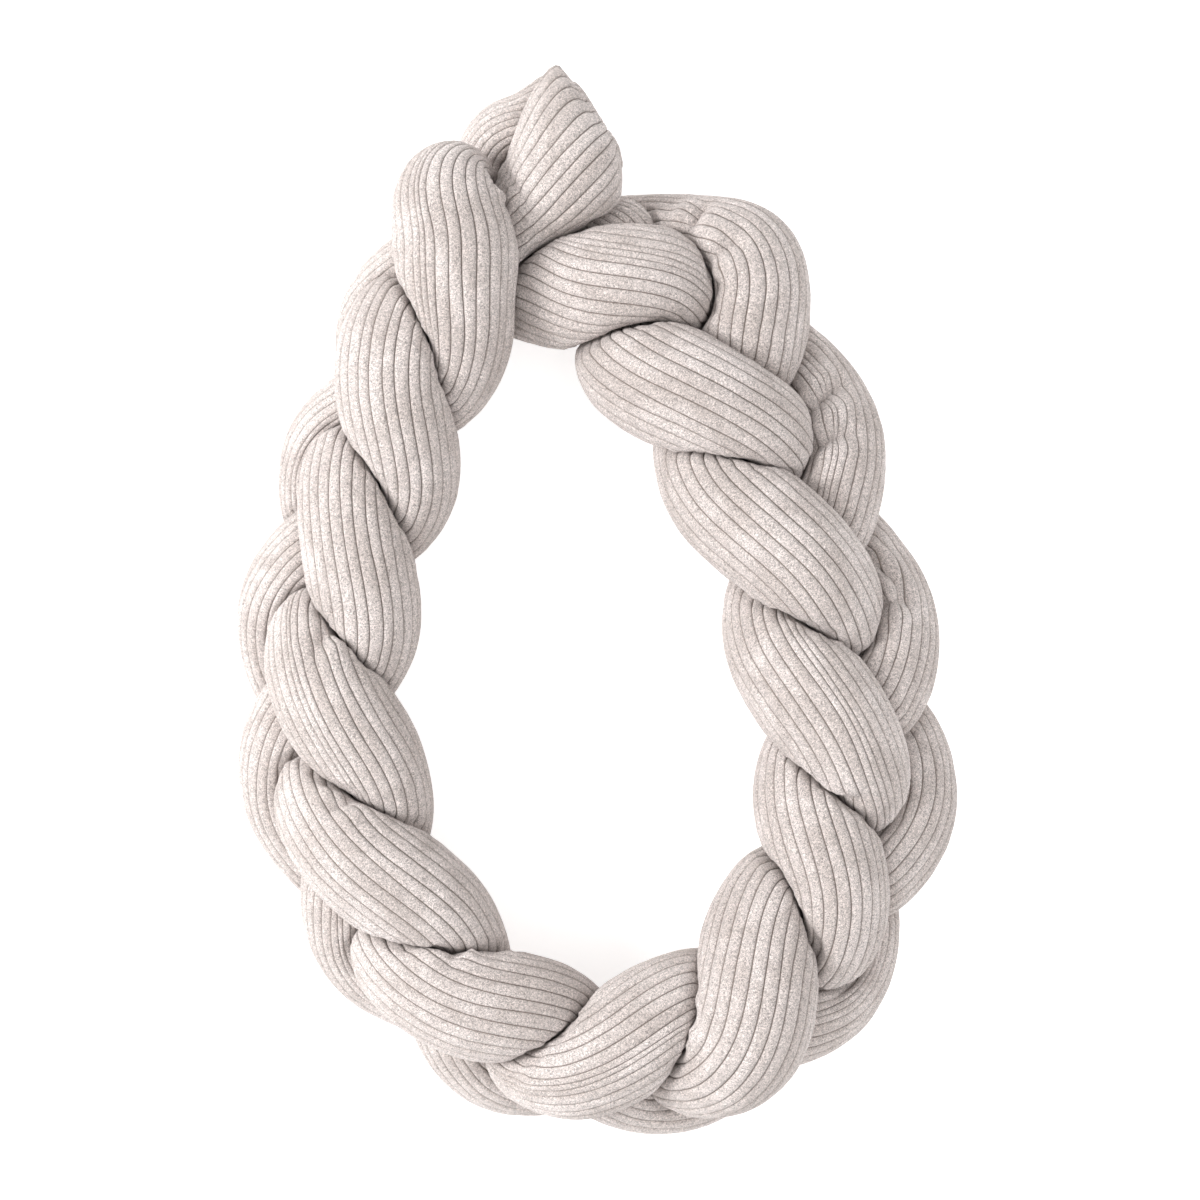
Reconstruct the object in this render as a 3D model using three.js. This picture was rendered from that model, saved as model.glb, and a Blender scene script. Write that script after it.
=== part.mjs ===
// Braided crib bumper: three stuffed corduroy tubes plaited into one thick braid,
// which lies on the floor in a loop with its head resting on its tail.
// Millimetres, +Z up, origin on the floor under the middle of the loop.

import * as THREE from 'three';

// How the plait runs. A pass is one swing of a tube over the braid's inner edge, and each tube
// follows the one before it by one pass.
const TUBE_NAMES = ['tube_a', 'tube_b', 'tube_c'];
const PHASE_PER_PASS = (2 * Math.PI) / TUBE_NAMES.length;
const FIRST_PHASE = Math.PI / 4;
const PASS_STEP = 0.25;
const SLOPE_STEP = 0.001;

// How far the braid's weight flattens its underside against the floor
const FLOOR_SQUASH = 6;

// The braid's own line on the floor, one row for each pass.
// roll tips the braid's flat face towards the middle of the loop, in degrees.
// reach and rise are how far a tube's centre swings across the braid and through its thickness.
// lift is how far the braid is held off the floor, where its head lies on its tail.
const BRAID_COLUMNS = ['pass', 'x', 'y', 'roll', 'reach', 'rise', 'radius', 'lift'];
const BRAID_ROWS = [
  [-1, -22, 472, 60, 45, 18, 51, 40],
  [0, -70, 405, 60, 45, 18, 51, 40],
  [1, -124, 313, 60, 43, 18, 51, 28],
  [2, -181, 190, 58, 48, 18, 51, 8],
  [3, -223, 70, 58, 51, 18, 51, 0],
  [4, -251, -69, 58, 51, 18, 52, 0],
  [5, -222, -220, 59, 54, 18, 54, 0],
  [6, -138, -342, 68, 49, 18, 54, 0],
  [7, -26, -408, 68, 49, 18, 51, 0],
  [8, 115, -373, 60, 55, 20, 58, 0],
  [9, 211, -272, 54, 49, 20, 54, 0],
  [10, 225, -126, 50, 54, 22, 56, 0],
  [11, 192, 30, 48, 54, 22, 56.5, 0],
  [12, 126, 187, 40, 65, 22, 57, 0],
  [13, 45, 303, 26, 65, 22, 56, 0],
  [14, -63, 304, 20, 47, 18, 47, 0],
  [15, -162, 297, 20, 40, 14, 36, 0],
];

// Each tube's free ends: the head rows run from its tip down to the braid, the tail rows away from it.
const END_COLUMNS = ['x', 'y', 'z', 'radius'];
const HEADS = [
  {
    joinsAtPass: 1.15,
    rows: [
      [-6, 406, 108, 36],
      [-10, 403, 112, 50],
      [-18, 395, 117, 58],
      [-37, 374, 118, 54],
      [-60, 350, 106, 47],
    ],
  },
  {
    joinsAtPass: 1,
    rows: [
      [-98, 375, 94, 7],
      [-107, 383, 106, 16],
      [-121, 384, 119, 29],
      [-132, 375, 131, 43],
      [-135, 358, 139, 54],
      [-131, 332, 143, 55],
    ],
  },
  {
    joinsAtPass: 1.6,
    rows: [
      [-38, 430, 74, 19],
      [-52, 430, 75, 28],
      [-72, 428, 74, 33],
      [-91, 420, 64, 35],
      [-96, 404, 55, 36],
      [-104, 382, 47, 38],
      [-122, 350, 46, 42],
      [-152, 292, 48, 47],
    ],
  },
];
const TAILS = [
  {
    leavesAtPass: 12.6,
    rows: [
      [34, 285, 82, 46],
      [26, 318, 86, 41],
      [1, 338, 84, 36],
      [-27, 353, 74, 27],
      [-42, 361, 66, 11],
    ],
  },
  {
    leavesAtPass: 12.85,
    rows: [
      [12, 278, 122, 60],
      [-22, 278, 109, 58],
      [-54, 280, 92, 53],
      [-84, 281, 72, 43],
      [-106, 280, 60, 28],
      [-118, 279, 56, 11],
    ],
  },
  {
    leavesAtPass: 12.3,
    rows: [
      [130, 305, 93, 57],
      [97, 318, 80, 50],
      [54, 327, 58, 46],
      [4, 330, 46, 40],
      [-38, 334, 40, 34],
      [-66, 336, 38, 24],
      [-80, 337, 38, 11],
    ],
  },
];

// Where a tube lies off the plait's own run: spread is how many passes it takes to come back, x, y and
// z how far it is moved, and radius how much thicker it is.
const NUDGE_COLUMNS = ['tube', 'pass', 'spread', 'x', 'y', 'z', 'radius'];
const NUDGES = [
  [2, 1.7, 0.35, 2, 22, 6, 1],
  [2, 2.0, 0.3, -7, 9, 7, 2],
  [0, 1.9, 0.3, 4, 3, -6, -1],
  [0, 2.7, 0.35, -2, 16, 4, 1],
  [2, 4.8, 0.3, -6, 4, 3, 1],
  [0, 5.8, 0.3, -8, 6, 4, 1],
  [1, 7.4, 0.4, 0, -5, 0, 0],
  [1, 7.8, 0.35, 0, -11, 0, 0],
  [2, 7.9, 0.35, 12, -18, 0, 4],
  [2, 8.8, 0.3, -1, 12, 3, 1],
  [1, 9.0, 0.35, -8, 0, 0, 0],
  [0, 9.6, 0.35, 5, 2, 0, 0],
  [2, 9.9, 0.5, 4, 0, 0, 0],
  [1, 1.0, 0.4, -2, 0, 0, 8],
  [1, 12.85, 0.3, 0, 4, 0, 0],
  [2, 12.15, 0.4, 1, 0, 0, 5],
  [0, 12.35, 0.5, -3, -10, 0, 0],
  [2, 11.7, 0.35, 3, -6, 0, 0],
];

// Corners that the closed head ends are drawn out to: where each starts, how far it is drawn, how far
// round it the cloth is drawn along, and how pointed it is. The facets here are coarse and cut the
// corner short, so it is drawn further than it reaches in the end.
const EAR_COLUMNS = ['tube', 'x', 'y', 'z', 'toX', 'toY', 'toZ', 'reach', 'point'];
const EARS = [
  [0, -43, 434, 120, -40, 505, 118, 56, 1.3],
];

// How the tubes press on each other. A higher rounding gives flatter contact faces with tighter
// edges. Parts of one tube further apart along it than the same stretch press on each other too.
const ROUNDING = 6;
const CONTACT_GAP = 6.4;
const LEAST_ROOM = 0.001;
const SAME_STRETCH = 260;
const TIGHTEST_FOLD = 0.85;
const REACH_OF_SEARCH = 150;

// How finely each tube is faceted
const SIDES = 16;
const PATH_STEP = 8;
const SOFTENING_ROUNDS = 6;
const RING_STEP_PER_RADIUS = 0.46;
const RING_STEP_LEAST = 8;
const RING_STEP_MOST = 25;

// How a ring's size is searched for: steps outwards to the limit in radii, then halvings
const SEARCH_STEPS = 16;
const HALVINGS = 14;
const RAY_LIMIT = 1.25;

// Pale greige corduroy
const CORDUROY = { color: 0xcfc6c1, roughness: 0.95, metalness: 0 };

const braidTable = BRAID_ROWS.map((values) => named(BRAID_COLUMNS, values));
const nudgeTable = NUDGES.map((values) => named(NUDGE_COLUMNS, values));
const earTable = EARS.map((values) => named(EAR_COLUMNS, values));

function named(columns, values) {
  return Object.fromEntries(columns.map((column, i) => [column, values[i]]));
}

// Cubic through the rows of a table, with each row's slope taken from its two neighbours.
function between(table, key, at, column) {
  const last = table.length - 1;
  let i = 0;
  while (i < last - 1 && table[i + 1][key] <= at) {
    i += 1;
  }
  const slope = (n) => {
    const before = table[Math.max(n - 1, 0)];
    const after = table[Math.min(n + 1, last)];
    return (after[column] - before[column]) / (after[key] - before[key]);
  };
  const span = table[i + 1][key] - table[i][key];
  const t = (at - table[i][key]) / span;
  const s = 1 - t;
  const ends = (1 + 2 * t) * s * s * table[i][column] + t * t * (3 - 2 * t) * table[i + 1][column];
  return ends + span * t * s * (s * slope(i) - t * slope(i + 1));
}

// Where a tube's centre is when the braid has made this many passes.
function braidPoint(tube, pass) {
  const at = (column) => between(braidTable, 'pass', pass, column);
  const ahead = (column) => between(braidTable, 'pass', pass + SLOPE_STEP, column);
  const behind = (column) => between(braidTable, 'pass', pass - SLOPE_STEP, column);
  const slope = (column) => ahead(column) - behind(column);
  const run = new THREE.Vector3(slope('x'), slope('y'), 0).normalize();
  const inward = new THREE.Vector3(-run.y, run.x, 0);
  const up = new THREE.Vector3(0, 0, 1);
  const roll = THREE.MathUtils.degToRad(at('roll'));
  const across = inward.clone().multiplyScalar(Math.cos(roll)).addScaledVector(up, Math.sin(roll));
  const through = inward.clone().multiplyScalar(-Math.sin(roll)).addScaledVector(up, Math.cos(roll));
  const phase = FIRST_PHASE + PHASE_PER_PASS * (pass - tube);
  const halfHeight = Math.hypot(
    (at('reach') + at('radius')) * Math.sin(roll),
    (at('rise') + at('radius')) * Math.cos(roll),
  );
  const centre = new THREE.Vector3(at('x'), at('y'), halfHeight + at('lift') - FLOOR_SQUASH)
    .addScaledVector(across, at('reach') * Math.sin(phase))
    .addScaledVector(through, at('rise') * Math.sin(2 * phase));
  return nudged(tube, pass, { x: centre.x, y: centre.y, z: centre.z, radius: at('radius') });
}

// A guide point with its tube's nudges added, each fading away before and after its pass.
function nudged(tube, pass, guide) {
  const moved = { ...guide };
  for (const nudge of nudgeTable.filter((row) => row.tube === tube)) {
    const share = Math.exp(-(((pass - nudge.pass) / nudge.spread) ** 2));
    for (const column of END_COLUMNS) {
      moved[column] += share * nudge[column];
    }
  }
  return moved;
}

// A tube's guide points from its head tip, through the braid, to its tail tip.
function guidePoints(tube) {
  const head = HEADS[tube].rows.map((values) => named(END_COLUMNS, values));
  const tail = TAILS[tube].rows.map((values) => named(END_COLUMNS, values));
  const first = HEADS[tube].joinsAtPass;
  const last = TAILS[tube].leavesAtPass;
  const steps = Math.round((last - first) / PASS_STEP);
  const middle = [];
  for (let i = 0; i <= steps; i += 1) {
    middle.push(braidPoint(tube, first + ((last - first) * i) / steps));
  }
  return [...head, ...middle, ...tail];
}

// Stations evenly spaced along a tube, each with its centre, radius, direction and bend.
function tubePath(tube) {
  const guides = guidePoints(tube);
  guides[0].along = 0;
  for (let i = 1; i < guides.length; i += 1) {
    const a = guides[i - 1];
    const b = guides[i];
    b.along = a.along + Math.hypot(b.x - a.x, b.y - a.y, b.z - a.z);
  }
  const total = guides[guides.length - 1].along;
  const count = Math.round(total / PATH_STEP);
  const stations = [];
  for (let i = 0; i <= count; i += 1) {
    const at = (total * i) / count;
    const value = (column) => between(guides, 'along', at, column);
    const centre = new THREE.Vector3(value('x'), value('y'), value('z'));
    stations.push({ centre, radius: value('radius') });
  }
  soften(stations);
  addDirections(stations);
  return stations;
}

// Stuffing rounds off the sharp turns of the guide.
function soften(stations) {
  for (let round = 0; round < SOFTENING_ROUNDS; round += 1) {
    const before = stations.map((station) => ({ centre: station.centre.clone(), radius: station.radius }));
    for (let i = 1; i < stations.length - 1; i += 1) {
      const beside = before[i - 1].centre.clone().add(before[i + 1].centre).multiplyScalar(0.5);
      stations[i].centre.lerp(beside, 0.5);
      stations[i].radius = (before[i - 1].radius + 2 * before[i].radius + before[i + 1].radius) / 4;
    }
  }
}

function addDirections(stations) {
  const last = stations.length - 1;
  stations.forEach((station, i) => {
    const before = stations[Math.max(i - 1, 0)].centre;
    const after = stations[Math.min(i + 1, last)].centre;
    station.direction = after.clone().sub(before).normalize();
    station.along = i === 0 ? 0 : stations[i - 1].along + station.centre.distanceTo(before);
  });
  stations.forEach((station, i) => {
    const before = stations[Math.max(i - 1, 0)];
    const after = stations[Math.min(i + 1, last)];
    station.bend = after.direction.clone().sub(before.direction).divideScalar(after.along - before.along);
  });
  let side = new THREE.Vector3(0, 0, 1);
  stations.forEach((station) => {
    side = side.clone().addScaledVector(station.direction, -side.dot(station.direction)).normalize();
    station.side = side;
    station.up = station.direction.clone().cross(side);
  });
}

// How far a point is from a stretch of tube, in that tube's own radii.
function distanceInRadii(point, stretch) {
  let nearest = Infinity;
  for (const station of stretch) {
    const dx = point.x - station.centre.x;
    const dy = point.y - station.centre.y;
    const dz = point.z - station.centre.z;
    const run = dx * station.direction.x + dy * station.direction.y + dz * station.direction.z;
    const within = Math.max(-PATH_STEP / 2, Math.min(PATH_STEP / 2, run));
    const squared = dx * dx + dy * dy + dz * dz - 2 * within * run + within * within;
    nearest = Math.min(nearest, Math.sqrt(Math.max(squared, 0)) / station.radius);
  }
  return nearest;
}

// The stretches of tube near a station that it can press on: the other two, and its own far parts.
function neighbours(paths, tube, station) {
  return paths
    .map((path, other) =>
      path.filter((candidate) => {
        const apart = other !== tube || Math.abs(candidate.along - station.along) > SAME_STRETCH;
        return apart && candidate.centre.distanceTo(station.centre) < REACH_OF_SEARCH;
      }),
    )
    .filter((stretch) => stretch.length > 0);
}

// Above 1 the point is outside the tube: past its cloth, past its neighbour or past its own fold.
function fullness(station, ray, size, stretches) {
  const point = station.centre.clone().addScaledVector(ray, size);
  const own = size / station.radius;
  const fold = Math.max(0, (size * station.bend.dot(ray)) / TIGHTEST_FOLD);
  let sum = own ** ROUNDING + fold ** ROUNDING;
  for (const stretch of stretches) {
    const room = Math.max(distanceInRadii(point, stretch) - CONTACT_GAP / station.radius, LEAST_ROOM);
    sum += (own / room) ** ROUNDING;
  }
  return sum;
}

// How far a ray goes before it meets the floor.
function floorSize(station, ray) {
  return ray.z < 0 ? station.centre.z / -ray.z : Infinity;
}

// The tube's size along one ray, found by stepping outwards and then halving.
function raySize(station, ray, stretches) {
  const limit = RAY_LIMIT * station.radius;
  let outside = limit;
  for (let i = 1; i <= SEARCH_STEPS; i += 1) {
    const size = (limit * i) / SEARCH_STEPS;
    if (fullness(station, ray, size, stretches) > 1) {
      outside = size;
      break;
    }
  }
  let inside = outside - limit / SEARCH_STEPS;
  for (let i = 0; i < HALVINGS; i += 1) {
    const middle = (inside + outside) / 2;
    if (fullness(station, ray, middle, stretches) > 1) {
      outside = middle;
    } else {
      inside = middle;
    }
  }
  return inside;
}

// The point moved along with the corner that its tube's head end is drawn out to.
function drawnOut(tube, station, point) {
  for (const ear of earTable.filter((row) => row.tube === tube)) {
    const start = new THREE.Vector3(ear.x, ear.y, ear.z);
    const pull = new THREE.Vector3(ear.toX, ear.toY, ear.toZ).sub(start);
    const share = Math.max(0, 1 - point.distanceTo(start) / ear.reach) ** ear.point;
    if (station.along < 2 * ear.reach) {
      point.addScaledVector(pull, share);
    }
  }
  return point;
}

// One ring of cloth round the tube, pressed flat where it meets the floor.
function ring(paths, tube, station) {
  const stretches = neighbours(paths, tube, station);
  const points = [];
  for (let i = 0; i < SIDES; i += 1) {
    const angle = (2 * Math.PI * i) / SIDES;
    const ray = station.side.clone().multiplyScalar(Math.cos(angle));
    ray.addScaledVector(station.up, Math.sin(angle));
    const size = Math.min(raySize(station, ray, stretches), floorSize(station, ray));
    const point = drawnOut(tube, station, station.centre.clone().addScaledVector(ray, size));
    point.z = Math.max(point.z, 0);
    points.push(point);
  }
  return points;
}

// The stations that get a ring, closer together where the tube is thin.
function ringStations(path) {
  const chosen = [path[0]];
  const last = path[path.length - 1];
  for (const station of path) {
    const wanted = RING_STEP_PER_RADIUS * station.radius;
    const step = Math.min(RING_STEP_MOST, Math.max(RING_STEP_LEAST, wanted));
    const sinceRing = station.along - chosen[chosen.length - 1].along;
    if (sinceRing >= step && last.along - station.along > RING_STEP_LEAST / 2) {
      chosen.push(station);
    }
  }
  chosen.push(last);
  return chosen;
}

// A closed skin over a row of rings, with a flat end at each tip.
function skin(rings) {
  const corners = rings.flat().flatMap((point) => point.toArray());
  const faces = [];
  for (let i = 0; i < rings.length - 1; i += 1) {
    for (let j = 0; j < SIDES; j += 1) {
      const a = i * SIDES + j;
      const b = i * SIDES + ((j + 1) % SIDES);
      faces.push(a, b, b + SIDES, a, b + SIDES, a + SIDES);
    }
  }
  const lastRing = (rings.length - 1) * SIDES;
  for (let j = 1; j < SIDES - 1; j += 1) {
    faces.push(0, j + 1, j);
    faces.push(lastRing, lastRing + j, lastRing + j + 1);
  }
  const geometry = new THREE.BufferGeometry();
  geometry.setAttribute('position', new THREE.Float32BufferAttribute(corners, 3));
  geometry.setIndex(faces);
  geometry.computeVertexNormals();
  return geometry;
}

function stuffedTube(paths, tube) {
  const rings = ringStations(paths[tube]).map((station) => ring(paths, tube, station));
  const mesh = new THREE.Mesh(skin(rings), new THREE.MeshStandardMaterial(CORDUROY));
  mesh.name = TUBE_NAMES[tube];
  return mesh;
}

const bumper = new THREE.Group();
const tubePaths = TUBE_NAMES.map((name, tube) => tubePath(tube));
TUBE_NAMES.forEach((name, tube) => bumper.add(stuffedTube(tubePaths, tube)));

export default bumper;
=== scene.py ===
"""A braided crib bumper: three stuffed corduroy tubes plaited thickly and laid in a loop.

Each tube follows its own line through the plait, is pressed flat where it meets the floor, its own
folds and its neighbours, and is then covered with ridges, seams, lumps and creases.
"""

import math

import bpy
import numpy as np
from bpy.props import FloatProperty, FloatVectorProperty, IntProperty, PointerProperty
from bpy.types import Operator, Panel, PropertyGroup
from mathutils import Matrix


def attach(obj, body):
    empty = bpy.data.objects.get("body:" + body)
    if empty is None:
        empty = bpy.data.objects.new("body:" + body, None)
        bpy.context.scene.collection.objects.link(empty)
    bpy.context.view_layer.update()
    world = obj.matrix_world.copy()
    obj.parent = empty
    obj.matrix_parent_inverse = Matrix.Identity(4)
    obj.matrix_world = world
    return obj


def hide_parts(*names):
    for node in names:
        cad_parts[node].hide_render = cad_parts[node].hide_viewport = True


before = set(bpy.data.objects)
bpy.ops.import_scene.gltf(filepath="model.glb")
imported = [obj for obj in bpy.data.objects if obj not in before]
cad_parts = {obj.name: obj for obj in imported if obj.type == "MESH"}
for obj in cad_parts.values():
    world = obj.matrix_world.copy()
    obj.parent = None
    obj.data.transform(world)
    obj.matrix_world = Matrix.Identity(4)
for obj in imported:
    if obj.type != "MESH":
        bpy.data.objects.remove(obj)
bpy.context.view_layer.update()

bl_info = {
    "name": "Braided crib bumper",
    "version": (1, 0, 0),
    "blender": (4, 5, 0),
    "location": "View3D > Sidebar > Bumper",
    "description": "Makes a braided bumper of three stuffed corduroy tubes and its plain studio",
    "category": "Object",
}

MM = 0.001
TINY = 1e-12
SEED = 7

# How the plait runs. A pass is one swing of a tube over the braid's inner edge, and each tube
# follows the one before it by one pass. The braid's weight presses it down by the floor squash.
TUBE_NAMES = ("tube_a", "tube_b", "tube_c")
PHASE_PER_PASS = 2 * math.pi / len(TUBE_NAMES)
FIRST_PHASE = math.pi / 4
PASS_STEP = 0.25
SLOPE_STEP = 0.001
FLOOR_SQUASH = 6 * MM

# The braid's own line on the floor, in millimetres and degrees, one row for each pass: where it
# lies, how far the plait is rolled over about its line, how far the tubes swing across it and
# through it, how thick they are, and how far the braid is lifted off the floor.
# pass, x, y, roll, reach, rise, radius, lift
BRAID_ROWS = (
    (-1, -22, 472, 60, 45, 18, 51, 40),
    (0, -70, 405, 60, 45, 18, 51, 40),
    (1, -124, 313, 60, 43, 18, 51, 28),
    (2, -181, 190, 58, 48, 18, 51, 8),
    (3, -223, 70, 58, 51, 18, 51, 0),
    (4, -251, -69, 58, 51, 18, 52, 0),
    (5, -222, -220, 59, 54, 18, 54, 0),
    (6, -138, -342, 68, 49, 18, 54, 0),
    (7, -26, -408, 68, 49, 18, 51, 0),
    (8, 115, -373, 60, 55, 20, 58, 0),
    (9, 211, -272, 54, 49, 20, 54, 0),
    (10, 225, -126, 50, 54, 22, 56, 0),
    (11, 192, 30, 48, 54, 22, 56.5, 0),
    (12, 126, 187, 40, 65, 22, 57, 0),
    (13, 45, 303, 26, 65, 22, 56, 0),
    (14, -63, 304, 20, 47, 18, 47, 0),
    (15, -162, 297, 20, 40, 14, 36, 0),
)

# Each tube's free ends, in millimetres: x, y, z, radius. The head rows run from the tip down to the
# braid, which takes over at the pass given, and the tail rows run away from it.
HEADS = (
    (1.15, (
        (-6, 406, 108, 36),
        (-10, 403, 112, 50),
        (-18, 395, 117, 58),
        (-37, 374, 118, 54),
        (-60, 350, 106, 47),
    )),
    (1, (
        (-98, 375, 94, 7),
        (-107, 383, 106, 16),
        (-121, 384, 119, 29),
        (-132, 375, 131, 43),
        (-135, 358, 139, 54),
        (-131, 332, 143, 55),
    )),
    (1.6, (
        (-38, 430, 74, 19),
        (-52, 430, 75, 28),
        (-72, 428, 74, 33),
        (-91, 420, 64, 35),
        (-96, 404, 55, 36),
        (-104, 382, 47, 38),
        (-122, 350, 46, 42),
        (-152, 292, 48, 47),
    )),
)
TAILS = (
    (12.6, (
        (34, 285, 82, 46),
        (26, 318, 86, 41),
        (1, 338, 84, 36),
        (-27, 353, 74, 27),
        (-42, 361, 66, 11),
    )),
    (12.85, (
        (12, 278, 122, 60),
        (-22, 278, 109, 58),
        (-54, 280, 92, 53),
        (-84, 281, 72, 43),
        (-106, 280, 60, 28),
        (-118, 279, 56, 11),
    )),
    (12.3, (
        (130, 305, 93, 57),
        (97, 318, 80, 50),
        (54, 327, 58, 46),
        (4, 330, 46, 40),
        (-38, 334, 40, 34),
        (-66, 336, 38, 24),
        (-80, 337, 38, 11),
    )),
)

# Where a tube lies off the plait's own run: tube, pass, how many passes it takes to come back, then
# how far it is moved along x, y and z and how much thicker it is, in millimetres
NUDGES = (
    (2, 1.7, 0.35, 2, 22, 6, 1),
    (2, 2.0, 0.3, -7, 9, 7, 2),
    (0, 1.9, 0.3, 4, 3, -6, -1),
    (0, 2.7, 0.35, -2, 16, 4, 1),
    (2, 4.8, 0.3, -6, 4, 3, 1),
    (0, 5.8, 0.3, -8, 6, 4, 1),
    (1, 7.4, 0.4, 0, -5, 0, 0),
    (1, 7.8, 0.35, 0, -11, 0, 0),
    (2, 7.9, 0.35, 12, -18, 0, 4),
    (2, 8.8, 0.3, -1, 12, 3, 1),
    (1, 9.0, 0.35, -8, 0, 0, 0),
    (0, 9.6, 0.35, 5, 2, 0, 0),
    (2, 9.9, 0.5, 4, 0, 0, 0),
    (1, 1.0, 0.4, -2, 0, 0, 8),
    (1, 12.85, 0.3, 0, 4, 0, 0),
    (2, 12.15, 0.4, 1, 0, 0, 5),
    (0, 12.35, 0.5, -3, -10, 0, 0),
    (2, 11.7, 0.35, 3, -6, 0, 0),
)

# Corners that the closed head ends are drawn out to: tube, where the corner starts and where it
# ends, how far round it the cloth is drawn along, in millimetres, and how pointed it is
EARS = (
    (0, (-43, 434, 120), (-40, 484, 116), 56, 1.3),
    (2, (-50, 456, 78), (-44, 483, 78), 32, 1.2),
)
# How far from the head tip cloth is still drawn along, in the same reaches
EAR_REACHES = 2

# How closely a tube's own line is followed, and how often its corners are rounded off
PATH_STEP = 8 * MM
SOFTENING_ROUNDS = 6

# How the tubes press on each other. A high rounding gives flat pressed sides with narrow corners.
# The tightest fold is how much of a bend's own radius its inner side fills. Two stretches of one
# tube press on each other when they are further apart along it than the same stretch.
ROUNDING = 14
TIGHTEST_FOLD = 0.95
SAME_STRETCH = 260 * MM
REACH_OF_SEARCH = 150 * MM
LEAST_ROOM = 0.001

# How a tube's size is found along each ray, the furthest that a ray goes in radii, and the sizes
# between which the cloth turns from pressed to free
RAYS = 72
RAY_LIMIT = 1.25
SEARCH_STEPS = 16
HALVINGS = 10
FREE_FROM = 0.86
FREE_SPAN = 0.1

# The ridges of the corduroy: where the points of one ridge lie across it, from groove to groove,
# how high each stands, and how much the ridges' widths differ
RIDGE_AT = (0.0, 0.07, 0.28, 0.72, 0.93)
RIDGE_HEIGHT = (0.0, 0.62, 1.0, 1.0, 0.62)
RIDGE_VARIATION = 0.05

# The ridges are spread round a tube partly by its length round and for the rest by angle
SHARE_BY_LENGTH = 0.2

# How the cloth closes over each tip: its rows, how open the last of them stays, in rows, and how
# deep the closing is in radii
TIP_ROWS = 8
TIP_OPENING = 0.3
CAP_DEPTH = 0.3

# The seam of each tube: the width of the ridges beside it, and where it runs, as a share of the way
# round the tube
SEAM_RIDGES = (0.62, 0.45, 0.6)
SEAM_AT = (0.55, 0.27, 0.3)

# Where the ridges wind round a tube: tube, where the winding starts and ends, in millimetres from
# the head tip or, when less than zero, from the tail tip, and how far round it goes in degrees
TWISTS = (
    (1, -260, -15, 85),
)

# How uneven the cloth is: how far grooves wander, in ridges, and how high the stuffing's lumps and
# the ridges' own unevenness stand. Lumps are smaller where the tube is pressed.
GROOVE_WANDER = 0.09
WANDER_STEP = 45 * MM
LUMP_HEIGHT = 1.3 * MM
LUMP_STEP = 42 * MM
LUMPS_ROUND = 8
PRESSED_LUMPS = 0.3
WOBBLE_HEIGHT = 0.35 * MM
WOBBLE_STEP = 9 * MM

# Puckers where the cloth is pushed together along the inner side of a bend
PUCKER_HEIGHT = 3.2 * MM
PUCKER_STEP = 8 * MM
PUCKERS_ROUND = 12
PUCKER_SINK = 0.2
PUCKERED_BEND = 0.45

# How uneven the cloth's edge is where it tucks under its neighbour
EDGE_HEIGHT = 3.0 * MM
EDGE_STEP = 14 * MM
EDGES_ROUND = 16

# Creases where the cloth is tucked: tube, x and y as seen from the camera in millimetres, the way
# the crease runs on the photograph's plane in degrees, half its length, its width and its depth
CREASES = (
    (1, -250, -36, 60, 22, 6, 6),
    (2, -234, -182, 40, 20, 6, 7),
    (2, 84, 347, 71, 24, 6, 10),
    (2, 110, 320, 30, 20, 5.5, 9),
    (1, 201, 188, 40, 32, 6.5, 11),
    (1, 212, 150, 20, 26, 6, 9),
    (0, 257, 31, -50, 38, 6, 10),
    (0, 258, 2, 10, 26, 6, 8),
    (0, -133, -315, 85, 24, 7, 4),
    (1, -70, -418, 20, 24, 6, 5),
    (2, 88, -409, 35, 24, 7, 6),
    (0, 189, -318, 45, 24, 7, 6),
    (1, 224, -182, 35, 20, 6, 5),
    (1, 221, -347, 60, 34, 6, 7),
)
CREASE_COLUMNS = ("tube", "x", "y", "heading", "half_length", "width", "depth")

# The camera's height, and the height at which the creases' places are measured
CAMERA_HEIGHT = 3.1
PLANE_HEIGHT = 0.1

# How a crease fades to its ends, pushes up the cloth beside it and draws it in. The bulge's place
# and width are in widths of the crease.
CREASE_FADE = 1.3
CREASE_BULGE = 0.4
BULGE_AT = 2.2
BULGE_WIDTH = 1.1
CREASE_PULL = 0.5

# How rows of points close up at a crease: at how many samples a row this is worked out, how many
# more rows a crease gets, and how far along the tube that reaches
FINE_SAMPLES = 4
FINE_ROWS = 2.2
FINE_REACH = 14 * MM

# The cloth's pattern. Real tufts of pile are about half a millimetre across, too fine to show, so
# they are drawn one to every 1.4 mm. Patches brushed one way are about 30 mm across, and longer
# along the tube than round it.
TUFTS_PER_METRE = 700
TUFT_HEIGHT = 1.5 * MM
TUFT_TONES = (0.48, 1.37)
PATCHES_PER_METRE = 32
PATCH_LENGTHENING = (1.0, 0.7, 1.0)

# The floor's half width and how far below the tubes it lies, so that the two don't share a plane
FLOOR_HALF = 6.0
FLOOR_DROP = 0.5 * MM
FLOOR_GLOW = 0.5

# The camera's lens and sensor in millimetres
LENS = 100
SENSOR = 36

# The studio's square softboxes: name, place, width, watts
SOFTBOXES = (
    ("key_softbox", (-3.8, 0.5, 3.1), 2.0, 225),
    ("fill_softbox", (0.6, -1.2, 2.8), 2.4, 22),
)
DAYLIGHT = 0.92


def linear(hex_colour):
    """An sRGB hex colour as linear red, green, blue."""
    channels = [int(hex_colour[i:i + 2], 16) / 255 for i in (1, 3, 5)]
    return tuple(c / 12.92 if c <= 0.04045 else ((c + 0.055) / 1.055) ** 2.4 for c in channels)


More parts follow.
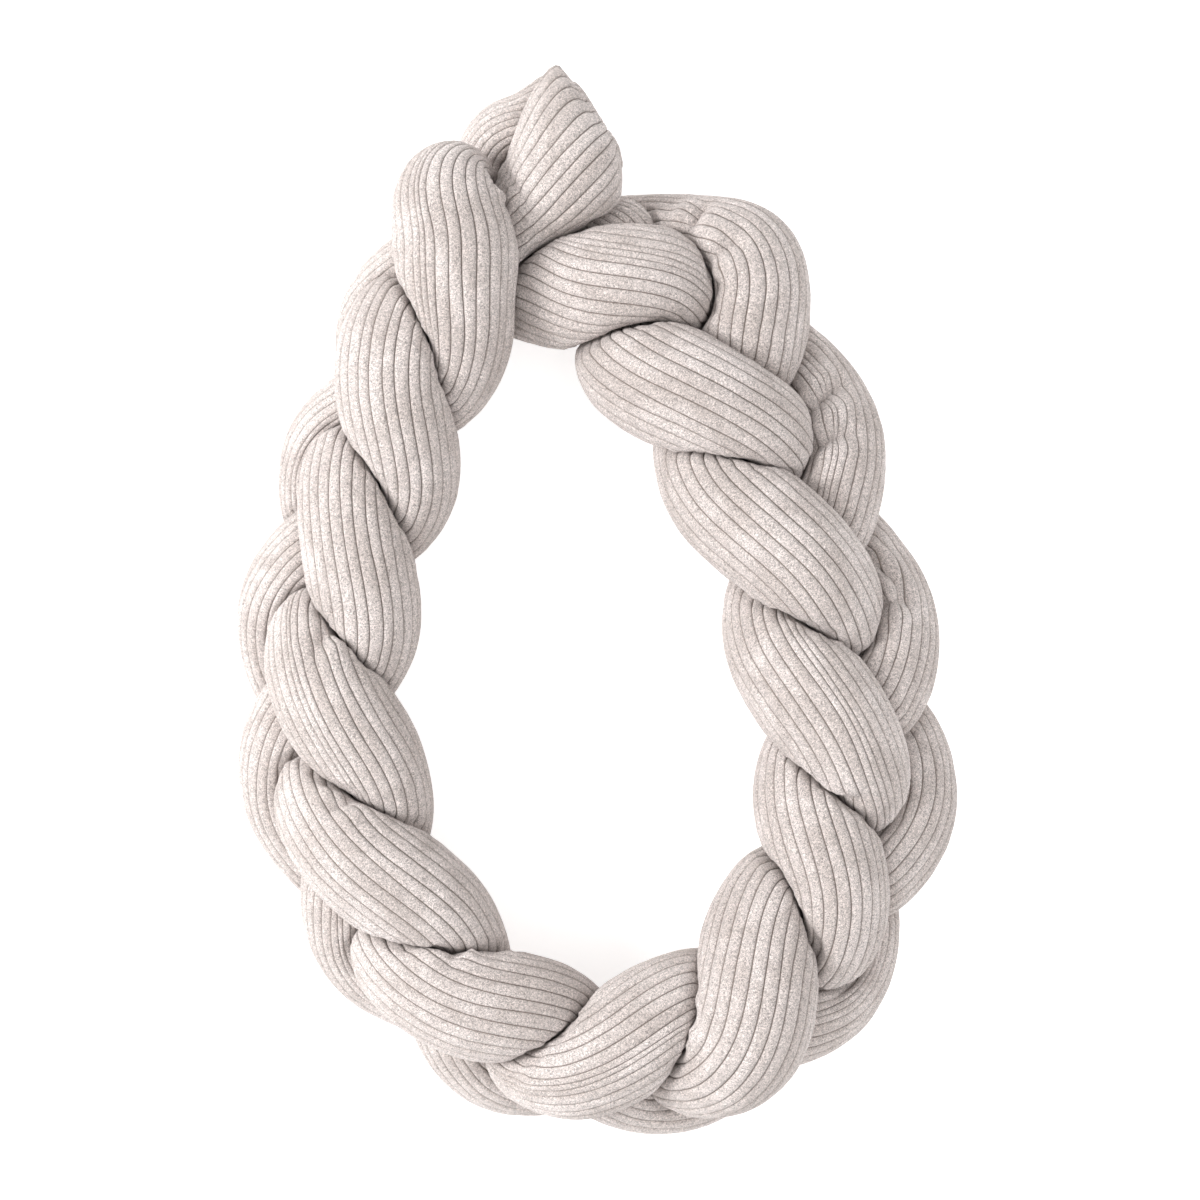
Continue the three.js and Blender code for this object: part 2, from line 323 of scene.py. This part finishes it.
class BumperCloth(PropertyGroup):
    """Sizes and colours of the corduroy tubes."""

    ridges: IntProperty(
        name="Ridges", description="Corduroy ridges round each tube", default=28, min=8, max=40,
    )
    ridge_depth: FloatProperty(
        name="Ridge depth", description="How deep the grooves between ridges are",
        default=2.3 * MM, unit="LENGTH",
    )
    gap: FloatProperty(
        name="Contact gap", description="Room left where two tubes press on each other",
        default=0.8 * MM, unit="LENGTH",
    )
    rows: IntProperty(
        name="Rows", description="Rows of mesh points along each tube", default=708, min=100,
    )
    pile_colour: FloatVectorProperty(
        name="Pile", description="Colour of the pile where it is brushed up",
        default=linear("#c9beb9"), size=3, subtype="COLOR", min=0, max=1,
    )
    brushed_colour: FloatVectorProperty(
        name="Brushed pile", description="Colour of the pile where it is brushed down",
        default=linear("#dfd5d1"), size=3, subtype="COLOR", min=0, max=1,
    )
    # The groove colour is painted shade: the bare ground cloth in the grooves, drawn much darker
    # than the pile to stand for the shade down in them
    groove_shade_colour: FloatVectorProperty(
        name="Groove", description="Colour of the ground cloth down in the grooves",
        default=linear("#76685f"), size=3, subtype="COLOR", min=0, max=1,
    )


class StudioSettings(PropertyGroup):
    """Sizes and colours of the plain studio."""

    camera_height: FloatProperty(
        name="Camera height", description="Height of the camera above the floor",
        default=CAMERA_HEIGHT, unit="LENGTH",
    )
    floor_colour: FloatVectorProperty(
        name="Floor", description="Colour of the studio floor",
        default=linear("#f7f7f7"), size=3, subtype="COLOR", min=0, max=1,
    )


def smooth(t):
    """A share from 0 to 1 that starts and ends gently."""
    return t * t * (3 - 2 * t)


def between(keys, values, at):
    """Cubic through the rows of a table, with each row's slope taken from its two neighbours."""
    keys, values, at = np.asarray(keys, float), np.asarray(values, float), np.atleast_1d(at)
    last = len(keys) - 1
    before = np.maximum(np.arange(last + 1) - 1, 0)
    after = np.minimum(np.arange(last + 1) + 1, last)
    slope = (values[after] - values[before]) / (keys[after] - keys[before])[:, None]
    i = np.clip(np.searchsorted(keys, at, side="right") - 1, 0, last - 1)
    span = (keys[i + 1] - keys[i])[:, None]
    t = ((at - keys[i]) / (keys[i + 1] - keys[i]))[:, None]
    s = 1 - t
    ends = (1 + 2 * t) * s * s * values[i] + smooth(t) * values[i + 1]
    return ends + span * t * s * (s * slope[i] - t * slope[i + 1])


def braid_points(tube, passes):
    """Where a tube's centre is, and its radius, when the braid has made these many passes."""
    rows = np.array(BRAID_ROWS, float)
    at = between(rows[:, 0], rows[:, 1:], passes)
    x, y, roll, reach, rise, radius, lift = at.T
    roll = np.radians(roll)
    reach, rise, radius, lift = reach * MM, rise * MM, radius * MM, lift * MM
    ahead = between(rows[:, 0], rows[:, 1:3], passes + SLOPE_STEP)
    run = ahead - between(rows[:, 0], rows[:, 1:3], passes - SLOPE_STEP)
    run /= np.linalg.norm(run, axis=1)[:, None]
    inward = np.stack([-run[:, 1], run[:, 0], np.zeros(len(run))], axis=1)
    up = np.array([0.0, 0.0, 1.0])
    across = np.cos(roll)[:, None] * inward + np.sin(roll)[:, None] * up
    through = -np.sin(roll)[:, None] * inward + np.cos(roll)[:, None] * up
    phase = FIRST_PHASE + PHASE_PER_PASS * (passes - tube)
    height = np.hypot((reach + radius) * np.sin(roll), (rise + radius) * np.cos(roll))
    middle = np.stack([x * MM, y * MM, height + lift - FLOOR_SQUASH], axis=1)
    swing = (reach * np.sin(phase))[:, None] * across
    swing += (rise * np.sin(2 * phase))[:, None] * through
    points = np.column_stack([middle + swing, radius])
    for nudged, at_pass, spread, *move in NUDGES:
        if nudged == tube:
            share = np.exp(-((passes - at_pass) / spread) ** 2)
            points += share[:, None] * np.array(move) * MM
    return points


def tube_path(tube):
    """Stations evenly spaced along a tube, each with its centre, radius, directions and bend."""
    first, head = HEADS[tube]
    last, tail = TAILS[tube]
    steps = round((last - first) / PASS_STEP)
    middle = braid_points(tube, np.linspace(first, last, steps + 1))
    guides = np.concatenate([np.array(head) * MM, middle, np.array(tail) * MM])
    chords = np.linalg.norm(np.diff(guides[:, :3], axis=0), axis=1)
    along = np.concatenate([[0], np.cumsum(chords)])
    count = round(along[-1] / PATH_STEP)
    stations = between(along, guides, np.linspace(0, along[-1], count + 1))
    for _ in range(SOFTENING_ROUNDS):
        stations[1:-1] = (stations[:-2] + 2 * stations[1:-1] + stations[2:]) / 4
    return with_directions(stations[:, :3], stations[:, 3])


def with_directions(centre, radius):
    """A path's directions, its bend, and the side and up axes that follow it without twisting."""
    count = len(centre)
    before = np.maximum(np.arange(count) - 1, 0)
    after = np.minimum(np.arange(count) + 1, count - 1)
    direction = centre[after] - centre[before]
    direction /= np.linalg.norm(direction, axis=1)[:, None]
    steps = np.linalg.norm(np.diff(centre, axis=0), axis=1)
    along = np.concatenate([[0], np.cumsum(steps)])
    bend = (direction[after] - direction[before]) / (along[after] - along[before])[:, None]
    side = np.empty_like(direction)
    last_side = np.array([0.0, 0.0, 1.0])
    for i in range(count):
        last_side = last_side - last_side.dot(direction[i]) * direction[i]
        last_side /= np.linalg.norm(last_side)
        side[i] = last_side
    up = np.cross(direction, side)
    return {
        "centre": centre, "radius": radius, "direction": direction, "along": along,
        "bend": bend, "side": side, "up": up,
    }


def distance_in_radii(points, path, near):
    """How far points are from a stretch of tube, in that tube's own radii."""
    away = points[:, None, :] - path["centre"][near][None]
    run = np.einsum("pnk,nk->pn", away, path["direction"][near])
    within = np.clip(run, -PATH_STEP / 2, PATH_STEP / 2)
    squared = np.einsum("pnk,pnk->pn", away, away) - 2 * within * run + within * within
    return (np.sqrt(np.maximum(squared, 0)) / path["radius"][near]).min(axis=1)


def ray_sizes(paths, tube, i, rays, gap):
    """How far the tube reaches along each ray from station i before its cloth is full or stopped.

    Its own radius, the inner side of a bend and each neighbour's cloth all take up room.
    """
    path = paths[tube]
    centre, radius = path["centre"][i], path["radius"][i]
    stretches = []
    for other in paths:
        near = np.linalg.norm(other["centre"] - centre, axis=1) < REACH_OF_SEARCH
        if other is path:
            near &= np.abs(other["along"] - path["along"][i]) > SAME_STRETCH
        if near.any():
            stretches.append((other, np.nonzero(near)[0]))
    folding = np.maximum(0, rays @ path["bend"][i]) / TIGHTEST_FOLD

    def outside(size):
        own = size / radius
        total = own ** ROUNDING + (size * folding) ** ROUNDING
        points = centre + rays * size[:, None]
        for other, near in stretches:
            room = np.maximum(distance_in_radii(points, other, near) - gap / radius, LEAST_ROOM)
            total += (own / room) ** ROUNDING
        return total > 1

    limit = RAY_LIMIT * radius
    high = np.full(len(rays), limit)
    found = np.zeros(len(rays), bool)
    for step in range(1, SEARCH_STEPS + 1):
        size = np.full(len(rays), limit * step / SEARCH_STEPS)
        new = outside(size) & ~found
        high[new] = size[new]
        found |= new
        if found.all():
            break
    low = high - limit / SEARCH_STEPS
    for _ in range(HALVINGS):
        middle = (low + high) / 2
        beyond = outside(middle)
        high = np.where(beyond, middle, high)
        low = np.where(beyond, low, middle)
    return low


def drawn_out(rings, tube, along):
    """The rings with the corners of the tube's closed head end drawn out."""
    for eared, start, end, reach, point in EARS:
        if eared == tube:
            near = along < EAR_REACHES * reach * MM
            away = np.linalg.norm(rings[near, :, :3] - np.array(start) * MM, axis=2)
            share = np.clip(1 - away / (reach * MM), 0, 1) ** point
            rings[near, :, :3] += share[:, :, None] * (np.array(end) - np.array(start)) * MM
    return rings


def tube_rings(paths, tube, gap):
    """The smooth skin of a tube: a ring of points for each station, and how free each point is."""
    path = paths[tube]
    angles = 2 * np.pi * np.arange(RAYS) / RAYS
    rings = []
    for i in range(len(path["centre"])):
        rays = np.cos(angles)[:, None] * path["side"][i] + np.sin(angles)[:, None] * path["up"][i]
        size = ray_sizes(paths, tube, i, rays, gap)
        down = np.minimum(rays[:, 2], -TINY)
        size = np.minimum(size, path["centre"][i][2] / -down)
        free = np.clip((size / path["radius"][i] - FREE_FROM) / FREE_SPAN, 0, 1)
        rings.append(np.column_stack([path["centre"][i] + rays * size[:, None], free]))
    return drawn_out(np.array(rings), tube, path["along"])


def share_round(closed):
    """How far each point of a closed ring is round it, from 0 to 1, and how long the ring is.

    The cloth goes round partly by length and partly by angle, so that a pressed side hardly moves
    the ridges on the free side.
    """
    steps = np.linalg.norm(np.diff(closed[:, :3], axis=0), axis=1)
    by_length = np.concatenate([[0], np.cumsum(steps)]) / steps.sum()
    by_angle = np.linspace(0, 1, len(closed))
    return SHARE_BY_LENGTH * by_length + (1 - SHARE_BY_LENGTH) * by_angle, steps.sum()


def crease(path, rings, i, j, heading, half_length, width, depth):
    """A crease at one ring point. heading is its direction as a vector in space."""
    points = rings[:, :, :3]
    before, after = max(i - 1, 0), min(i + 1, len(rings) - 1)
    lengthwise = points[after, j] - points[before, j]
    crosswise = points[i, (j + 1) % RAYS] - points[i, j - 1]
    lengthwise /= np.linalg.norm(lengthwise)
    crosswise /= np.linalg.norm(crosswise)
    way = np.array([heading @ lengthwise, heading @ crosswise])
    shares, _ = share_round(np.append(points[i], points[i, :1], axis=0))
    return {
        "along": path["along"][i], "share": shares[j], "way": way / np.linalg.norm(way),
        "half_length": half_length, "width": width, "depth": depth,
    }


def listed_creases(tube, path, rings):
    """The creases of the table that lie on a tube, each put on the part that the camera sees."""
    made = []
    points = rings[:, :, :3]
    scale = (CAMERA_HEIGHT - PLANE_HEIGHT) / (CAMERA_HEIGHT - points[:, :, 2])
    seen = points[:, :, :2] * scale[:, :, None]
    upper = points[:, :, 2] > path["centre"][:, 2:3]
    for values in CREASES:
        row = dict(zip(CREASE_COLUMNS, values))
        if row["tube"] != tube:
            continue
        away = np.hypot(seen[:, :, 0] - row["x"] * MM, seen[:, :, 1] - row["y"] * MM)
        i, j = np.unravel_index(np.where(upper, away, np.inf).argmin(), away.shape)
        turn = math.radians(row["heading"])
        heading = np.array([math.cos(turn), math.sin(turn), 0.0])
        sizes = [row[key] * MM for key in ("half_length", "width", "depth")]
        made.append(crease(path, rings, i, j, heading, *sizes))
    return made


def rows_along(rings, path, creases, count):
    """Rings interpolated to rows, closer together at the creases, with closing rows at the tips."""
    fine = np.linspace(0, path["along"][-1], FINE_SAMPLES * count)
    density = np.ones(len(fine))
    for fold in creases:
        density += FINE_ROWS * np.exp(-((fine - fold["along"]) / FINE_REACH) ** 2)
    density = np.minimum(density, 1 + FINE_ROWS)
    total = np.concatenate([[0], np.cumsum((density[1:] + density[:-1]) / 2)])
    places = np.interp(np.linspace(0, total[-1], count - 2 * TIP_ROWS), total, fine)
    flat = between(path["along"], rings.reshape(len(rings), -1), places)
    rows = flat.reshape(len(places), rings.shape[1], 4)
    first, last = rows[0].mean(axis=0), rows[-1].mean(axis=0)
    start, finish = [], []
    before, after = [], []
    for i in range(TIP_ROWS):
        turn = math.pi / 2 * (i + 1) / (TIP_ROWS + TIP_OPENING)
        for row, middle, out, ends in (
            (rows[0], first, -path["direction"][0], start),
            (rows[-1], last, path["direction"][-1], finish),
        ):
            reach = np.linalg.norm((row - middle)[:, :3], axis=1).mean()
            end = middle + (row - middle) * math.cos(turn)
            end[:, :3] += out * reach * math.sin(turn) * CAP_DEPTH
            ends.append(end)
        before.append(places[0] - reach * (1 - math.cos(turn)))
        after.append(places[-1] + reach * (1 - math.cos(turn)))
    closed_along = np.concatenate([before[::-1], places, after])
    return np.concatenate([start[::-1], rows, finish]), closed_along


def ridge_places(settings, seam_at, rng):
    """Each column's share of the way round the tube, its ridge, its place on it and its height."""
    widths = rng.normal(1, RIDGE_VARIATION, settings.ridges)
    widths[:len(SEAM_RIDGES)] = SEAM_RIDGES
    edges = np.concatenate([[0], np.cumsum(widths)]) / widths.sum() + seam_at
    ridge = np.repeat(np.arange(settings.ridges), len(RIDGE_AT))
    at = np.tile(RIDGE_AT, settings.ridges)
    heights = np.tile(RIDGE_HEIGHT, settings.ridges)
    return edges[ridge] * (1 - at) + edges[ridge + 1] * at, ridge, at, heights


def uneven(rng, along, share, step, cells):
    """Smooth random heights from -1 to 1 over a tube's cloth, which meet where the cloth does."""
    u = (along - along.min()) / step
    v = share % 1 * cells
    grid = rng.uniform(-1, 1, (int(u.max()) + 3, cells))
    i, j = np.floor(u).astype(int), np.floor(v).astype(int)
    s, t = u - i, v - j
    s, t = smooth(s), smooth(t)
    j, k = j % cells, (j + 1) % cells
    near = grid[i, j] * (1 - t) + grid[i, k] * t
    far = grid[i + 1, j] * (1 - t) + grid[i + 1, k] * t
    return near * (1 - s) + far * s


def round_rows(rows, places):
    """Each row's points moved round it to the given shares of its own length round."""
    closed = np.concatenate([rows, rows[:, :1]], axis=1)
    round_length = np.empty(len(rows))
    made = np.empty((*places.shape, 4))
    for i in range(len(rows)):
        share, round_length[i] = share_round(closed[i])
        for k in range(4):
            made[i, :, k] = np.interp(places[i] % 1, share, closed[i, :, k])
    return made[:, :, :3], made[:, :, 3], round_length


def unit(vectors):
    """A grid of vectors, each made one long."""
    return vectors / np.maximum(np.linalg.norm(vectors, axis=2), TINY)[:, :, None]


def surface_axes(points):
    """Unit lengthwise, crosswise and outward directions over a tube's grid of points."""
    lengthwise = unit(np.gradient(points, axis=0))
    crosswise = unit(np.roll(points, -1, axis=1) - np.roll(points, 1, axis=1))
    normal = unit(np.cross(crosswise, lengthwise))
    if (normal * (points - points.mean(axis=1)[:, None, :])).sum() < 0:
        normal = -normal
    return lengthwise, crosswise, normal


def creased(points, axes, free, along, share, round_length, creases):
    """The points with each crease pressed in, its sides bulged and the cloth drawn towards it."""
    lengthwise, crosswise, normal = axes
    shift = np.zeros_like(points)
    for fold in creases:
        run = along[:, None] - fold["along"]
        over = ((share - fold["share"] + 0.5) % 1 - 0.5) * round_length[:, None]
        beside = run * fold["way"][1] - over * fold["way"][0]
        down = run * fold["way"][0] + over * fold["way"][1]
        fade = np.clip(1 - (down / fold["half_length"]) ** 2, 0, 1) ** CREASE_FADE
        a = beside / fold["width"]
        dip = np.exp(-a * a)
        bulge = CREASE_BULGE * np.exp(-((np.abs(a) - BULGE_AT) / BULGE_WIDTH) ** 2) * free
        shift += normal * (fold["depth"] * fade * (bulge - dip))[:, :, None]
        pull = -CREASE_PULL * fold["depth"] * fade * a * dip
        shift += lengthwise * (pull * fold["way"][1])[:, :, None]
        shift -= crosswise * (pull * fold["way"][0])[:, :, None]
    return points + shift


def cloth_places(settings, tube, along, length, rng):
    """Each point's share of the way round, with the ridges' wander and winding, and the heights."""
    places, ridge, at, heights = ridge_places(settings, SEAM_AT[tube], rng)
    grooves = np.arange(settings.ridges) / settings.ridges
    wander = uneven(rng, along[:, None], grooves, WANDER_STEP, settings.ridges)
    next_ridge = (ridge + 1) % settings.ridges
    drift = wander[:, ridge] * (1 - at) + wander[:, next_ridge] * at
    places = places + drift * GROOVE_WANDER / settings.ridges
    for twisted, start, finish, degrees in TWISTS:
        if twisted == tube:
            start, finish = (at * MM + (length if at < 0 else 0) for at in (start, finish))
            t = np.clip((along - start) / (finish - start), 0, 1)
            places = places + (smooth(t) * degrees / 360)[:, None]
    return places, heights


def unevenness(path, along, places, free, share, normal, settings, rng):
    """How far lumps, wobbles, puckers and tucked edges raise each point of the cloth."""
    rows = along[:, None]
    lumps = uneven(rng, rows, places, LUMP_STEP, LUMPS_ROUND) - 1
    rise = LUMP_HEIGHT * share * lumps * (PRESSED_LUMPS + (1 - PRESSED_LUMPS) * free)
    rise += WOBBLE_HEIGHT * share * uneven(rng, rows, places, WOBBLE_STEP, settings.ridges)
    bend = between(path["along"], path["bend"] * path["radius"][:, None], along)
    inner = np.clip(np.einsum("ijk,ik->ij", normal, bend) / PUCKERED_BEND, 0, 1)
    pucker = uneven(rng, rows, places, PUCKER_STEP, PUCKERS_ROUND) - PUCKER_SINK
    rise += PUCKER_HEIGHT * inner * pucker * free
    edge = uneven(rng, rows, places, EDGE_STEP, EDGES_ROUND)
    at_edge = 4 * free * (1 - free)
    return rise + EDGE_HEIGHT * at_edge * share * edge


def tube_surface(paths, tube, settings):
    """The grid of points of one corduroy tube, with each point's place in the cloth and height."""
    rng = np.random.default_rng(SEED + tube)
    path = paths[tube]
    rings = tube_rings(paths, tube, settings.gap)
    creases = listed_creases(tube, path, rings)
    rows, along = rows_along(rings, path, creases, settings.rows)
    places, heights = cloth_places(settings, tube, along, path["along"][-1], rng)
    points, free, round_length = round_rows(rows, places)
    axes = surface_axes(points)
    normal = axes[2]
    full_round = np.median(round_length)
    share = np.minimum(1, round_length / full_round)[:, None]
    rise = (heights - 1) * settings.ridge_depth * share
    rise = rise + unevenness(path, along, places, free, share, normal, settings, rng)
    points = points + normal * rise[:, :, None]
    points = creased(points, axes, free, along, places, round_length, creases)
    points[:, :, 2] = np.maximum(points[:, :, 2], 0)
    return points, heights, along - along[0], places[0] * full_round, full_round


def grid_faces(rows, columns):
    """The four-cornered faces round an open-ended tube of points."""
    i = np.arange(rows - 1)[:, None] * columns
    j = np.arange(columns)[None]
    k = (j + 1) % columns
    return np.stack([i + j, i + k, i + columns + k, i + columns + j], axis=2).reshape(-1, 4)


def tube_mesh(name, surface):
    """A mesh of a tube's grid, with its cloth coordinates and ridge heights for the material."""
    points, heights, along, around, full_round = surface
    rows, columns = points.shape[:2]
    faces = grid_faces(rows, columns)
    caps = [list(range(columns))[::-1], [(rows - 1) * columns + j for j in range(columns)]]
    mesh = bpy.data.meshes.new(name)
    mesh.from_pydata(points.reshape(-1, 3).tolist(), [], faces.tolist() + caps)
    # The ridge heights also tell the material where to paint shade in the grooves
    height = mesh.attributes.new("ridge_height", "FLOAT", "POINT")
    height.data.foreach_set("value", np.tile(heights, rows).astype(np.float32))
    cloth = mesh.uv_layers.new(name="Cloth")
    u = np.append(around, around[0] + full_round)
    j = np.arange(columns)
    corners_u = np.stack([u[j], u[j + 1], u[j + 1], u[j]], axis=1)
    corners_v = np.stack([along[:-1], along[:-1], along[1:], along[1:]], axis=1)
    grid = np.empty((rows - 1, columns, 4, 2))
    grid[..., 0] = corners_u[None]
    grid[..., 1] = corners_v[:, None]
    ends = np.zeros((2 * columns, 2))
    ends[:, 0] = np.concatenate([around[::-1], around])
    ends[columns:, 1] = along[-1]
    flat = np.concatenate([grid.reshape(-1, 2), ends]).astype(np.float32)
    cloth.uv.foreach_set("vector", flat.ravel())
    mesh.shade_smooth()
    mesh.validate()
    return mesh


def node(tree, kind, links=None, **settings):
    """A node with its settings, its inputs set to values or linked from other nodes' outputs."""
    made = tree.nodes.new(kind)
    for key, value in settings.items():
        setattr(made, key, value)
    for socket, value in (links or {}).items():
        if isinstance(value, bpy.types.NodeSocket):
            tree.links.new(value, made.inputs[socket])
        else:
            made.inputs[socket].default_value = value
    return made


def with_alpha(colour):
    """A colour as the four numbers that a colour socket takes."""
    return (*colour, 1.0)


def corduroy(settings):
    """Wide-wale cotton corduroy, woven and cut to a pile.

    Matt, with light caught on the tips of the pile, thin grooves between the ridges darkened with
    painted shade, and lighter and darker patches where the pile has been brushed one way or the
    other.
    """
    material = bpy.data.materials.new("wide_wale_cotton_corduroy_cut_pile")
    material.use_nodes = True
    tree = material.node_tree
    tree.nodes.clear()
    place = node(tree, "ShaderNodeTexCoord")
    cloth = node(tree, "ShaderNodeUVMap", uv_map="Cloth")
    height = node(tree, "ShaderNodeAttribute", attribute_name="ridge_height")
    tufts = node(
        tree, "ShaderNodeTexNoise",
        {"Vector": place.outputs["Object"], "Scale": TUFTS_PER_METRE, "Detail": 2,
         "Roughness": 0.65, "Distortion": 1.4},
    )
    stretched = node(
        tree, "ShaderNodeMapping", {"Vector": cloth.outputs["UV"], "Scale": PATCH_LENGTHENING},
    )
    patches = node(
        tree, "ShaderNodeTexNoise",
        {"Vector": stretched.outputs["Vector"], "Scale": PATCHES_PER_METRE, "Detail": 4,
         "Roughness": 0.6, "Distortion": 0.6},
    )
    brushed = node(
        tree, "ShaderNodeMapRange",
        {"Value": patches.outputs["Fac"], "From Min": 0.4, "From Max": 0.66},
    )
    nap = node(
        tree, "ShaderNodeMix",
        {"Factor": brushed.outputs["Result"], "A": with_alpha(settings.pile_colour),
         "B": with_alpha(settings.brushed_colour)},
        data_type="RGBA",
    )
    speck = node(
        tree, "ShaderNodeMapRange",
        {"Value": tufts.outputs["Fac"], "From Min": 0.37, "From Max": 0.63,
         "To Min": TUFT_TONES[0], "To Max": TUFT_TONES[1]},
    )
    speckled = node(
        tree, "ShaderNodeMix",
        {"Factor": 1.0, "A": nap.outputs["Result"], "B": speck.outputs["Result"]},
        data_type="RGBA", blend_type="MULTIPLY",
    )
    # Painted shade in the grooves: the groove colour at each groove's foot, turning to the pile
    # colour by two thirds of the ridge's height
    clear_of_groove_shade = node(
        tree, "ShaderNodeMapRange",
        {"Value": height.outputs["Fac"], "From Min": 0.0, "From Max": 0.66},
    )
    colour = node(
        tree, "ShaderNodeMix",
        {"Factor": clear_of_groove_shade.outputs["Result"], "A": with_alpha(settings.groove_shade_colour),
         "B": speckled.outputs["Result"]},
        data_type="RGBA",
    )
    relief = node(
        tree, "ShaderNodeBump",
        {"Strength": 1.0, "Distance": TUFT_HEIGHT, "Height": tufts.outputs["Fac"]},
    )
    shader = node(
        tree, "ShaderNodeBsdfPrincipled",
        {"Base Color": colour.outputs["Result"], "Roughness": 0.95,
         "Normal": relief.outputs["Normal"], "Sheen Weight": 0.25, "Sheen Roughness": 0.5,
         "Specular IOR Level": 0.15},
    )
    output = node(tree, "ShaderNodeOutputMaterial")
    tree.links.new(shader.outputs["BSDF"], output.inputs["Surface"])
    return material


def opal_board(settings):
    """Opal acrylic sheet with a ground matt face, lit softly from below.

    It gives a plain near-white floor with no shine, on which shadows are faint.
    """
    material = bpy.data.materials.new("opal_acrylic_sheet_ground_matt")
    material.use_nodes = True
    shader = material.node_tree.nodes["Principled BSDF"]
    shader.inputs["Base Color"].default_value = with_alpha(settings.floor_colour)
    shader.inputs["Roughness"].default_value = 0.9
    shader.inputs["Specular IOR Level"].default_value = 0.1
    shader.inputs["Emission Color"].default_value = with_alpha(settings.floor_colour)
    shader.inputs["Emission Strength"].default_value = FLOOR_GLOW
    return material


class BUMPER_OT_tubes(Operator):
    """Make the three stuffed corduroy tubes in place of their plain solids"""

    bl_idname = "bumper.tubes"
    bl_label = "Stuffed corduroy tubes"

    def execute(self, context):
        settings = context.scene.bumper_cloth
        paths = [tube_path(tube) for tube in range(len(TUBE_NAMES))]
        material = corduroy(settings)
        for tube, name in enumerate(TUBE_NAMES):
            mesh = tube_mesh(f"{name}_cloth", tube_surface(paths, tube, settings))
            mesh.materials.append(material)
            piece = bpy.data.objects.new(f"{name}_cloth", mesh)
            context.scene.collection.objects.link(piece)
            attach(piece, "root")
            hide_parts(name)
        return {"FINISHED"}


class BUMPER_OT_studio(Operator):
    """Make the plain floor, the soft lights and the camera straight above the loop"""

    bl_idname = "bumper.studio"
    bl_label = "Plain studio"

    def execute(self, context):
        settings = context.scene.bumper_studio
        scene = context.scene
        floor_mesh = bpy.data.meshes.new("studio_floor")
        corners = [(x * FLOOR_HALF, y * FLOOR_HALF, -FLOOR_DROP)
                   for x, y in ((-1, -1), (1, -1), (1, 1), (-1, 1))]
        floor_mesh.from_pydata(corners, [], [(0, 1, 2, 3)])
        floor_mesh.materials.append(opal_board(settings))
        floor = bpy.data.objects.new("studio_floor", floor_mesh)
        scene.collection.objects.link(floor)

        camera_data = bpy.data.cameras.new("studio_camera")
        camera_data.lens = LENS
        camera_data.sensor_width = SENSOR
        camera = bpy.data.objects.new("studio_camera", camera_data)
        camera.location = (0, 0, settings.camera_height)
        scene.collection.objects.link(camera)
        scene.camera = camera

        for name, place, size, power in SOFTBOXES:
            light_data = bpy.data.lights.new(name, "AREA")
            light_data.shape = "SQUARE"
            light_data.size = size
            light_data.energy = power
            light = bpy.data.objects.new(name, light_data)
            light.location = place
            aim = -light.location.normalized()
            light.rotation_mode = "QUATERNION"
            light.rotation_quaternion = aim.to_track_quat("-Z", "Y")
            scene.collection.objects.link(light)

        world = bpy.data.worlds.new("studio_daylight")
        world.use_nodes = True
        background = world.node_tree.nodes["Background"]
        background.inputs["Color"].default_value = (1, 1, 1, 1)
        background.inputs["Strength"].default_value = DAYLIGHT
        scene.world = world
        scene.view_settings.view_transform = "Standard"
        return {"FINISHED"}


class BUMPER_PT_panel(Panel):
    """The bumper's settings and its two operators"""

    bl_idname = "BUMPER_PT_panel"
    bl_label = "Braided bumper"
    bl_space_type = "VIEW_3D"
    bl_region_type = "UI"
    bl_category = "Bumper"

    def draw(self, context):
        for settings in (context.scene.bumper_cloth, context.scene.bumper_studio):
            for name in type(settings).__annotations__:
                self.layout.prop(settings, name)
        for operator in OPERATORS:
            self.layout.operator(operator.bl_idname)


OPERATORS = (BUMPER_OT_tubes, BUMPER_OT_studio)
CLASSES = (BumperCloth, StudioSettings, *OPERATORS, BUMPER_PT_panel)


def register():
    for made in CLASSES:
        bpy.utils.register_class(made)
    bpy.types.Scene.bumper_cloth = PointerProperty(type=BumperCloth)
    bpy.types.Scene.bumper_studio = PointerProperty(type=StudioSettings)


def unregister():
    del bpy.types.Scene.bumper_studio
    del bpy.types.Scene.bumper_cloth
    for made in reversed(CLASSES):
        bpy.utils.unregister_class(made)


def main():
    register()
    bpy.ops.bumper.tubes()
    bpy.ops.bumper.studio()


if __name__ == "__main__":
    main()
